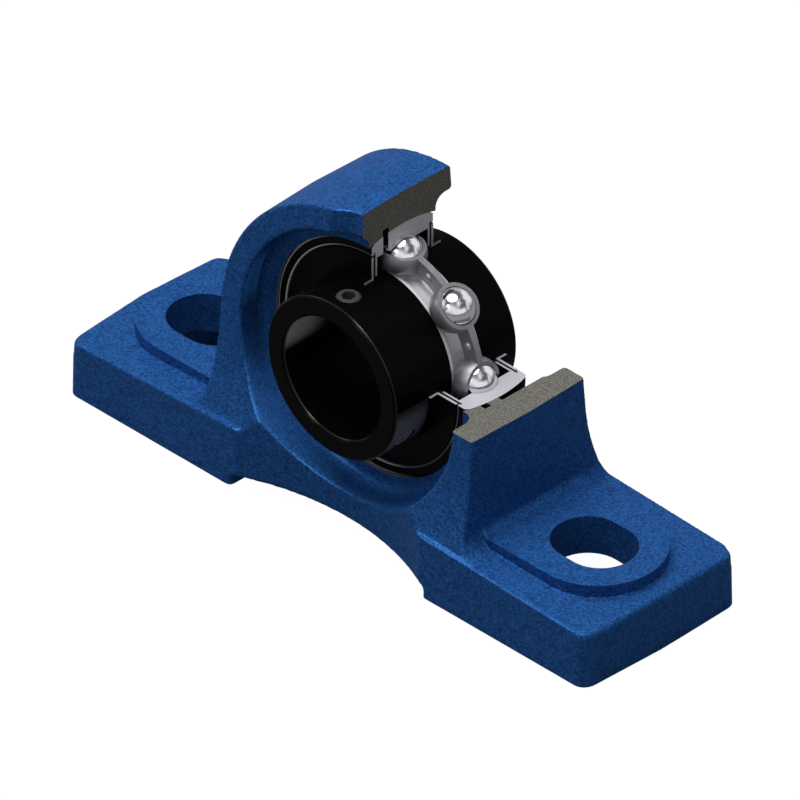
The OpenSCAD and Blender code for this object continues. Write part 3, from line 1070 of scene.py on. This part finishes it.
@dataclass
class Rivets:
    """The cage's rivets, in millimetres, placed by a geometry tree."""

    circle_r: float = 22.9
    count: int = 8
    body_r: float = 0.6
    head_r: float = 1.1
    head_h: float = 0.6
    sheet: float = 0.8
    steel: Colour = screen(176, 176, 182)

    def rivet(self) -> Object:
        """Build one rivet along Z at the origin."""
        dome = (self.head_r**2 + self.head_h**2) / (2 * self.head_h)
        top = self.sheet + self.head_h
        edge = math.degrees(math.asin(self.head_r / dome))
        head = arc((0, top - dome), dome, 90 - edge, 90, 8)
        half = [(self.body_r, self.sheet), *head[:-1], (0, top)]
        profile = [(r, -z) for r, z in reversed(half)] + half
        form = bmesh.new()
        points = [form.verts.new(Vector((r, 0, z)) * MM) for r, z in profile]
        edges = [form.edges.new(pair) for pair in zip(points, points[1:])]
        turn = {"cent": (0, 0, 0), "axis": (0, 0, 1), "angle": 2 * math.pi}
        bmesh.ops.spin(form, geom=points + edges, steps=24, use_duplicate=False, **turn)
        bmesh.ops.remove_doubles(form, verts=form.verts, dist=1e-7)
        made = close_form("rivet", form)
        made.data.shade_smooth()
        return made

    def tree(self, rivet: Object, material: Material) -> bpy.types.GeometryNodeTree:
        """Build the tree that sets rivets on a circle, with its radius and count as inputs."""
        tree = bpy.data.node_groups.new("rivets_on_circle", "GeometryNodeTree")
        sockets = (
            ("Geometry", "INPUT", "Geometry"),
            ("Circle radius", "INPUT", "Float"),
            ("Count", "INPUT", "Int"),
            ("Geometry", "OUTPUT", "Geometry"),
        )
        for name, way, kind in sockets:
            tree.interface.new_socket(name, in_out=way, socket_type="NodeSocket" + kind)
        add = tree.nodes.new
        start, end = add("NodeGroupInput"), add("NodeGroupOutput")
        circle, copies = add("GeometryNodeMeshCircle"), add("GeometryNodeInstanceOnPoints")
        source, real = add("GeometryNodeObjectInfo"), add("GeometryNodeRealizeInstances")
        dress = add("GeometryNodeSetMaterial")
        source.inputs["Object"].default_value = rivet
        dress.inputs["Material"].default_value = material
        links = (
            (start, "Circle radius", circle, "Radius"),
            (start, "Count", circle, "Vertices"),
            (circle, "Mesh", copies, "Points"),
            (source, "Geometry", copies, "Instance"),
            (copies, "Instances", real, "Geometry"),
            (real, "Geometry", dress, "Geometry"),
            (dress, "Geometry", end, "Geometry"),
        )
        for giver, output, taker, socket in links:
            tree.links.new(giver.outputs[output], taker.inputs[socket])
        return tree

    def build(self) -> None:
        """Build all rivets as one plain mesh round the shaft."""
        material = CageFinish(sheet=self.steel).material("rivet_steel")
        rivet = self.rivet()
        made = add_object("cage_rivets", bpy.data.meshes.new("cage_rivets"))
        modifier = made.modifiers.new("rivets", "NODES")
        modifier.node_group = self.tree(rivet, material)
        named = {
            item.name: item.identifier
            for item in modifier.node_group.interface.items_tree
            if item.in_out == "INPUT"
        }
        modifier[named["Circle radius"]] = self.circle_r * MM
        modifier[named["Count"]] = self.count
        applied(made)
        bpy.data.objects.remove(rivet)
        half_step = math.pi / self.count
        made.data.transform(
            Matrix.Translation((0, 0, SHAFT_H * MM))
            @ Matrix.Rotation(math.pi / 2, 4, "X")
            @ Matrix.Rotation(half_step, 4, "Z")
        )
        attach(made, "cage")
        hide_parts(*[f"cage_rivet_{k}" for k in range(1, self.count + 1)])
        log.info("cage_rivets: %d faces", len(made.data.polygons))


@dataclass
class Studio:
    """The floor, the light and the camera of the photograph.

    The camera's middle, shift and width are in millimetres, and all else is in metres.
    """

    right: Triple = (0.7058, 0.7084, 0.0)
    up: Triple = (-0.4089, 0.4074, 0.8166)
    back: Triple = (0.5785, -0.5764, 0.5772)
    middle: Triple = (0.0, 0.0, 37.715)
    shift: Pair = (-0.519, -9.416)
    width: float = 176.44
    camera_way: float = 1.2
    camera_end: float = 10.0
    lamps_aim: Triple = (0.0, 0.0, 0.04)
    floor_half: float = 3.0
    floor_drop: float = 0.0002
    floor_light: float = 1.13
    floor_seen: float = 0.88
    floor_mirrored: float = 0.1
    cloud_size: float = 1.5
    dark_cloud: Stop = (0.38, (0.16, 0.16, 0.17))
    pale_cloud: Stop = (0.62, (0.95, 0.95, 0.95))
    grey: Colour = screen(128, 128, 128)
    white: Colour = (1.0, 1.0, 1.0)

    def camera(self) -> None:
        """Build the camera at the photograph's viewing angle."""
        data = bpy.data.cameras.new("camera")
        data.type = "ORTHO"
        data.ortho_scale = self.width * MM
        data.clip_end = self.camera_end
        camera = add_object("camera", data)
        axes = Matrix((self.right, self.up, self.back))
        aim = Vector(self.middle) + self.shift[0] * axes[0] + self.shift[1] * axes[1]
        place = aim * MM + axes[2] * self.camera_way
        turn = axes.transposed().to_4x4()
        camera.matrix_world = Matrix.Translation(place) @ turn
        bpy.context.scene.camera = camera

    def lamp(
        self, name: str, place: Triple, size: float, watts: float, diffuse: bool = True
    ) -> None:
        """Build a round lamp that looks at the bearing.

        Args:
            name: The lamp's name.
            place: Where it hangs, in metres.
            size: Its width in metres.
            watts: Its power.
            diffuse: Whether it lights the pieces as well as glinting in them.
        """
        data = bpy.data.lights.new(name, "AREA")
        data.shape = "DISK"
        data.size = size
        data.energy = watts
        lamp = add_object(name, data)
        lamp.visible_diffuse = diffuse
        aim = Vector(self.lamps_aim) - Vector(place)
        turn = aim.to_track_quat("-Z", "Y").to_matrix().to_4x4()
        lamp.matrix_world = Matrix.Translation(place) @ turn

    def ray(self, shader: Shader, kind: str) -> Socket:
        """Give 1 for rays of one kind and 0 for the others."""
        return shader.node("ShaderNodeLightPath", output=kind)

    def floor(self) -> None:
        """Build the pale floor, white to the eye and soft on the object."""
        shader = Shader("floor")
        paper = shader.node("ShaderNodeBsdfDiffuse", sockets={"Color": self.grey})
        glow = {"Color": self.white, "Strength": self.floor_light}
        white = shader.node("ShaderNodeEmission", sockets=glow)
        share = self.ray(shader, "Is Camera Ray") * self.floor_seen
        share = share + self.ray(shader, "Is Glossy Ray") * self.floor_mirrored
        both = shader.node("ShaderNodeMixShader", sockets={0: share, 1: paper, 2: white})
        shader.node("ShaderNodeOutputMaterial", sockets={"Surface": both})
        form = bmesh.new()
        bmesh.ops.create_grid(form, x_segments=1, y_segments=1, size=self.floor_half)
        floor = close_form("floor", form)
        floor.data.transform(Matrix.Translation((0, 0, -self.floor_drop)))
        floor.data.materials.append(shader.owner)

    def world(self) -> None:
        """Build a world that is white to the eye and a cloudy room in the metal."""
        shader = Shader("world", world=True)
        way = shader.node("ShaderNodeTexCoord", output="Generated")
        pattern = {"Vector": way, "Scale": self.cloud_size, "Detail": 1.0}
        cloud = shader.node("ShaderNodeTexNoise", sockets=pattern)
        room = shader.ramp(cloud, self.dark_cloud, self.pale_cloud)
        colour = shader.blend(self.ray(shader, "Is Glossy Ray"), self.grey, room)
        colour = shader.blend(self.ray(shader, "Is Camera Ray"), colour, self.white)
        sky = shader.node("ShaderNodeBackground", sockets={"Color": colour})
        shader.node("ShaderNodeOutputWorld", sockets={"Surface": sky})
        bpy.context.scene.world = shader.owner

    def build(self) -> None:
        """Build the whole studio."""
        self.camera()
        self.floor()
        self.world()
        self.lamp("key", (-0.15, -0.1, 1.1), 0.95, 11.8)
        self.lamp("left", (-0.75, -0.5, 0.3), 0.25, 0.65)
        self.lamp("front", (0.2, -1.0, 0.7), 0.2, 0.1)
        self.lamp("glint", (0.0, -0.9, 0.76), 0.2, 2.0, diffuse=False)
        bpy.context.scene.view_settings.view_transform = "Standard"
        log.info("studio: ready")


def main() -> None:
    """Build the scene."""
    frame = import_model()
    window = Window()
    Studio().build()
    Housing(window).build()
    Bearing(window, frame["nodes"]).build()
    Rivets().build()


if __name__ == "__main__":
    main()
